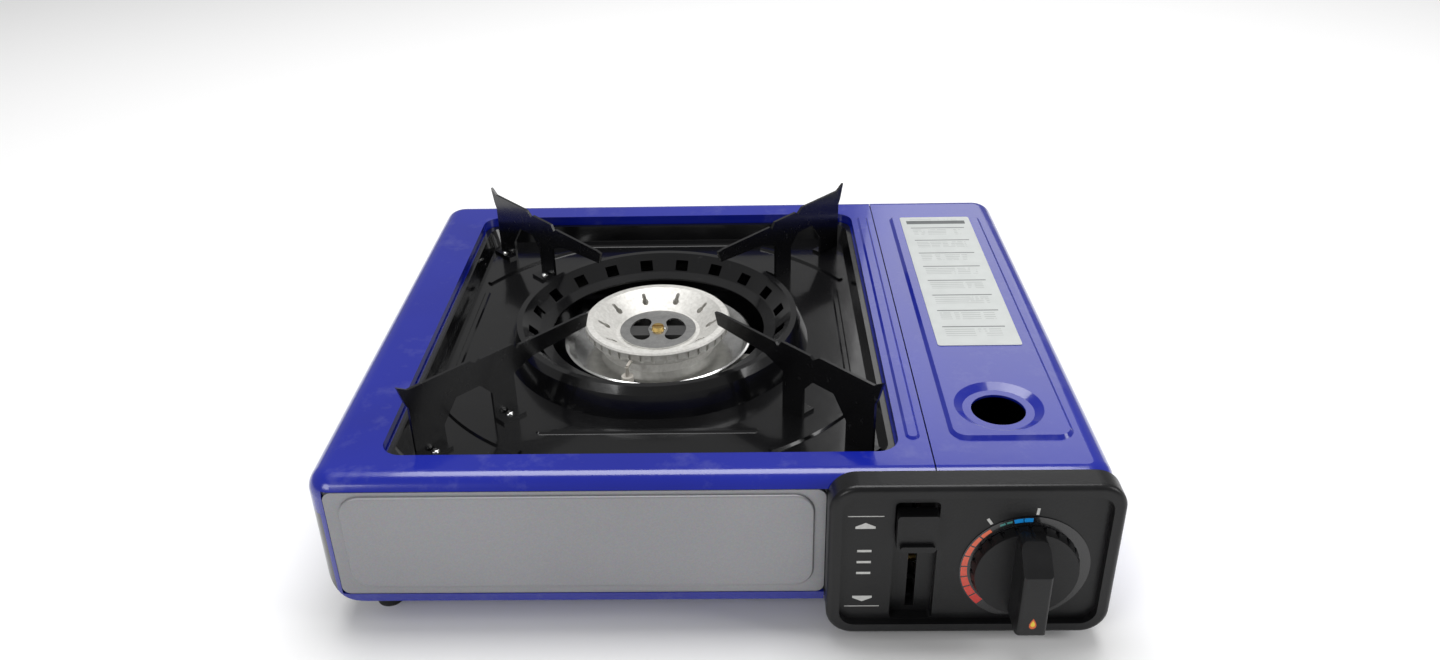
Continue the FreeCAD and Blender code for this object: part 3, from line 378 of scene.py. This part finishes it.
# Control panel, knob and lever: injection-moulded black plastic with a fine spark-eroded texture.
# Handling greys and dulls it in patches, and dust lies on the grain. Rubber and silicone are duller versions.
def moulding(name, black, grey, rough, grain):
    plastic = Finish(name, IOR=1.36)
    texture = plastic.noise(grain, 3.0)
    touch = plastic.spread(plastic.noise(22.0, 4.0), 0.4, 0.65, 0.0, 1.0)
    dust = plastic.spread(plastic.noise(480.0, 4.0, 0.7), 0.63, 0.74, 0.0, 0.5)
    plastic.feed("Base Color", plastic.blend(touch * 0.5 + dust * 0.3, black, grey))
    plastic.feed("Roughness", rough + touch * 0.1)
    plastic.bump(texture, 0.14, 0.0004)
    return plastic


hood = moulding("satin_black_moulding", (0.006, 0.006, 0.0065), (0.017, 0.017, 0.018), 0.3, 900.0)
dress(hood, "control_panel", "igniter_body")
grip = moulding("knob_black_moulding", (0.005, 0.005, 0.0055), (0.017, 0.017, 0.018), 0.36, 1100.0)
dress(grip, "control_knob", "gas_lever")
feet = moulding("black_rubber", (0.01, 0.01, 0.01), (0.035, 0.034, 0.033), 0.62, 420.0)
dress(feet, "front_foot_left", "front_foot_right", "rear_foot_left", "rear_foot_right", "socket_seal")
sleeve = moulding("dark_silicone_sleeve", (0.02, 0.02, 0.02), (0.045, 0.045, 0.045), 0.5, 420.0)
dress(sleeve, "ignition_wire")


# Dial plate: gloss black printed disc behind the knob. Its scale is a wedge of red bars that thins towards
# the top and turns orange, then fine teal dashes and two blue bars.
knob_low, knob_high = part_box("dial_plate")
dial_x = (knob_low[0] + knob_high[0]) / 2
dial_z = (knob_low[2] + knob_high[2]) / 2
dial = Finish("printed_dial", Roughness=0.22, Coat_Weight=0.4, IOR=1.5)
right = dial.axis("X") - dial_x
above = dial.axis("Z") - dial_z
radius = (right * right + above * above).to("SQRT")
turn = above.to("ARCTAN2", right * -1.0) * (180 / math.pi)
sweep = dial.spread(turn, -48.0, 52.0, 0.0, 1.0)
outer = 0.0272 - sweep * 0.0006
inner = 0.0236 + sweep * 0.0014
bars = (outer > radius) * (radius > inner) * turn.within(-48.0, 52.0) * (((turn + 48.0) / 12.5).to("FRACT") > 0.12)
thin_band = radius.within(0.0255, 0.0265)
dashes = thin_band * turn.within(60.0, 73.0) * (((turn - 60.0) / 6.5).to("FRACT") > 0.2)
blue = radius.within(0.0248, 0.0268) * turn.within(74.0, 92.0) * (((turn - 74.0) / 9.0).to("FRACT") > 0.1)
heat_colour = dial.blend(sweep, (0.62, 0.015, 0.012), (0.8, 0.13, 0.04))
ink = dial.noise(500.0, 3.0)
ground = dial.blend(dial.spread(ink, 0.4, 0.7, 0.0, 1.0), (0.004, 0.004, 0.005), (0.01, 0.01, 0.011))
printed = dial.blend(dashes, dial.blend(bars, ground, heat_colour), (0.05, 0.24, 0.22))
dial.feed("Base Color", dial.blend(blue, printed, (0.01, 0.27, 0.72)))
dial.feed("Roughness", 0.2 + ink * 0.08)
dress(dial, "dial_plate")


# Print on the panel's face: pad-printed white arrows and rules beside the lever, and ticks round the dial.
# Each mark is a thin film of ink on the moulding.
ink_depth = 0.00004
ink_stand = 0.00003
ink_white = (0.62, 0.62, 0.6)


def film(name, outlines, colour, face, body):
    # Outlines lie in the face's plane, and the ink reaches a little into the moulding behind them
    ink_sheet = Finish(name + "_ink", IOR=1.45)
    worn = ink_sheet.noise(700.0, 3.0)
    ink_sheet.feed("Base Color", ink_sheet.blend(worn * 0.3, colour, (0.05, 0.05, 0.05)))
    ink_sheet.feed("Roughness", 0.4 + worn * 0.2)
    work = bmesh.new()
    for outline in outlines:
        corners = [work.verts.new((x, face, z)) for x, z in outline]
        flat = work.faces.new(corners)
        flat.normal_update()
        if flat.normal.y > 0:
            flat.normal_flip()
    bmesh.ops.solidify(work, geom=work.faces[:], thickness=ink_depth)
    bmesh.ops.recalc_face_normals(work, faces=work.faces[:])
    mesh = bpy.data.meshes.new(name)
    work.to_mesh(mesh)
    work.free()
    piece = bpy.data.objects.new(name, mesh)
    bpy.context.collection.objects.link(piece)
    mesh.materials.append(ink_sheet.material)
    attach(piece, body)


def bar_outline(x0, x1, z0, z1):
    return [(x0, z0), (x1, z0), (x1, z1), (x0, z1)]


face_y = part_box("dial_plate")[1][1]
column_x = 0.0655
rule_half = 0.0075
arrow_half = 0.0042
dash_half = 0.003
marks = [bar_outline(column_x - rule_half, column_x + rule_half, 0.0668, 0.0672),
         [(column_x - arrow_half, 0.0605), (column_x + arrow_half, 0.0605), (column_x + arrow_half, 0.0616),
          (column_x, 0.0636), (column_x - arrow_half, 0.0616)],
         bar_outline(column_x - rule_half, column_x + rule_half, 0.0178, 0.0182),
         [(column_x - arrow_half, 0.0238), (column_x - arrow_half, 0.0227), (column_x, 0.0207),
          (column_x + arrow_half, 0.0227), (column_x + arrow_half, 0.0238)]]
for step in range(3):
    marks.append(bar_outline(column_x - dash_half, column_x + dash_half, 0.036 + step * 0.006, 0.0372 + step * 0.006))
film("panel_marks", marks, ink_white, face_y - ink_stand, "case")
ticks = []
for degrees, length in ((56, 0.0034), (95, 0.0034)):
    angle = math.radians(180 - degrees)
    out = Vector((math.cos(angle), math.sin(angle)))
    across_tick = Vector((-out.y, out.x)) * 0.0006
    start = Vector((dial_x, dial_z)) + out * 0.0283
    end = start + out * length
    ticks.append([tuple(start - across_tick), tuple(end - across_tick), tuple(end + across_tick),
                  tuple(start + across_tick)])
film("dial_ticks", ticks, ink_white, face_y - ink_stand, "case")


# Small yellow and red flame sign, hot-stamped on the lower end of the knob's grip bar.
# It is a plain drop, a yellow one on a larger red one.
bar_low, bar_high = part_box("control_knob")
bar_face = bar_low[1]
stamp_stand = 0.000012
for name, scale, colour in (("flame_sign_red", 1.0, (0.7, 0.12, 0.02)),
                            ("flame_sign_yellow", 0.6, (0.85, 0.62, 0.04))):
    drop = []
    for step in range(20):
        angle = 2 * math.pi * step / 20
        narrow = math.sin(angle / 2) ** 1.3
        drop.append((dial_x + scale * 0.0021 * math.sin(angle) * narrow,
                     dial_z - 0.0112 + scale * 0.0028 * math.cos(angle)))
    film(name, [drop], colour, bar_face - stamp_stand - ink_stand * (1 - scale), "knob")


# Label on the lid: thin foil, stuck on, printed with plain rules and rows of faint broken lines.
# It has a darker bar along its rear edge.
label_low, label_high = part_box("lid_label")
foil = Finish("pale_foil_label", Metallic=0.25, IOR=1.5)
across = (foil.axis("X") - label_low[0]) / (label_high[0] - label_low[0])
along = (foil.axis("Y") - label_low[1]) / (label_high[1] - label_low[1])
margin = across.within(0.05, 0.95) * along.within(0.02, 0.98)
rows = (along * 9.0).to("FRACT").within(0.06, 0.12) * across.within(0.12, 0.88)
lines = (along * 72.0).to("FRACT").within(0.3, 0.62) * across.within(0.14, 0.82) * ((along * 9.0).to("FRACT") > 0.55)
broken = foil.noise(300.0, 2.0, 0.5, foil.stretched(1.0, 0.15, 1.0)) > 0.42
bar = along.within(0.935, 0.965) * across.within(0.08, 0.92)
grain = foil.noise(120.0, 4.0)
sheet_tone = foil.blend(grain, (0.45, 0.47, 0.46), (0.56, 0.58, 0.57))
ruled = foil.blend((rows + lines * broken * 0.45) * margin, sheet_tone, (0.16, 0.17, 0.17))
foil.feed("Base Color", foil.blend(bar, ruled, (0.1, 0.11, 0.11)))
foil.feed("Roughness", 0.34 + grain * 0.16)
foil.bump(grain, 0.05, 0.0003)
dress(foil, "lid_label")


# Stage: a pale floor under an even sky. A broad lamp hangs above, two stand at the front left and the right,
# and a low glow behind is mirrored in the lid.
# The camera stands in front of the stove and looks down on it by about 29 degrees.
def lamp(name, place, aim, size, power):
    data = bpy.data.lights.new(name, "AREA")
    data.shape = "RECTANGLE"
    data.size = size[0]
    data.size_y = size[1]
    data.energy = power
    light = bpy.data.objects.new(name, data)
    bpy.context.collection.objects.link(light)
    light.location = place
    light.rotation_euler = (Vector(aim) - Vector(place)).to_track_quat("-Z", "Y").to_euler()


lamp("soft_top", (0.0, 0.35, 1.7), (0.0, 0.0, 0.0), (1.3, 0.9), 26.0)
lamp("soft_front_left", (-1.2, -1.5, 1.1), (0.0, 0.0, 0.04), (0.8, 0.8), 11.0)
lamp("soft_right", (1.7, -0.5, 0.9), (0.0, 0.0, 0.04), (0.6, 0.9), 9.0)
lamp("lid_glow", (0.5, 1.35, 0.84), (0.12, 0.0, 0.08), (0.55, 0.6), 1.6)

world = bpy.data.worlds.new("even_sky")
bpy.context.scene.world = world
world.use_nodes = True
sky = world.node_tree.nodes["Background"]
sky.inputs["Color"].default_value = (1.0, 1.0, 1.0, 1.0)
path = world.node_tree.nodes.new("ShaderNodeLightPath")
seen = world.node_tree.nodes.new("ShaderNodeMapRange")
seen.inputs["To Min"].default_value = 0.32
seen.inputs["To Max"].default_value = 1.0
world.node_tree.links.new(path.outputs["Is Camera Ray"], seen.inputs["Value"])
world.node_tree.links.new(seen.outputs["Result"], sky.inputs["Strength"])

floor_mesh = bpy.data.meshes.new("studio_floor")
reach_of_floor = 6
floor_mesh.from_pydata([(x * reach_of_floor, y * reach_of_floor, 0) for x, y in ((-1, -1), (1, -1), (1, 1), (-1, 1))],
                       [], [(0, 1, 2, 3)])
floor = bpy.data.objects.new("studio_floor", floor_mesh)
bpy.context.collection.objects.link(floor)
pale = Finish("pale_floor", Base_Color=(0.93, 0.93, 0.93, 1.0), Roughness=0.8)
floor_mesh.materials.append(pale.material)

eye = Vector((0.0157, -0.5141, 0.3716))
pitch = math.radians(28.54)
yaw = math.radians(1.30)
roll = math.radians(-1.24)
focal_px = 1148.97
centre_px = (720.3, 304.7)
image_px = (1440, 660)
forward = Vector((-math.sin(yaw) * math.cos(pitch), math.cos(yaw) * math.cos(pitch), -math.sin(pitch)))
level = Vector((math.cos(yaw), math.sin(yaw), 0.0))
upward = level.cross(forward)
side = level * math.cos(roll) + upward * math.sin(roll)
top = upward * math.cos(roll) - level * math.sin(roll)
camera_data = bpy.data.cameras.new("photo_camera")
camera = bpy.data.objects.new("photo_camera", camera_data)
bpy.context.collection.objects.link(camera)
camera_data.sensor_width = 36.0
camera_data.lens = focal_px / image_px[0] * camera_data.sensor_width
camera_data.shift_x = (image_px[0] / 2 - centre_px[0]) / image_px[0]
camera_data.shift_y = (centre_px[1] - image_px[1] / 2) / image_px[0]
camera_data.clip_start = 0.02
camera.matrix_world = Matrix.Translation(eye) @ Matrix((side, top, -forward)).transposed().to_4x4()
bpy.context.scene.camera = camera
bpy.context.scene.view_settings.view_transform = "Standard"
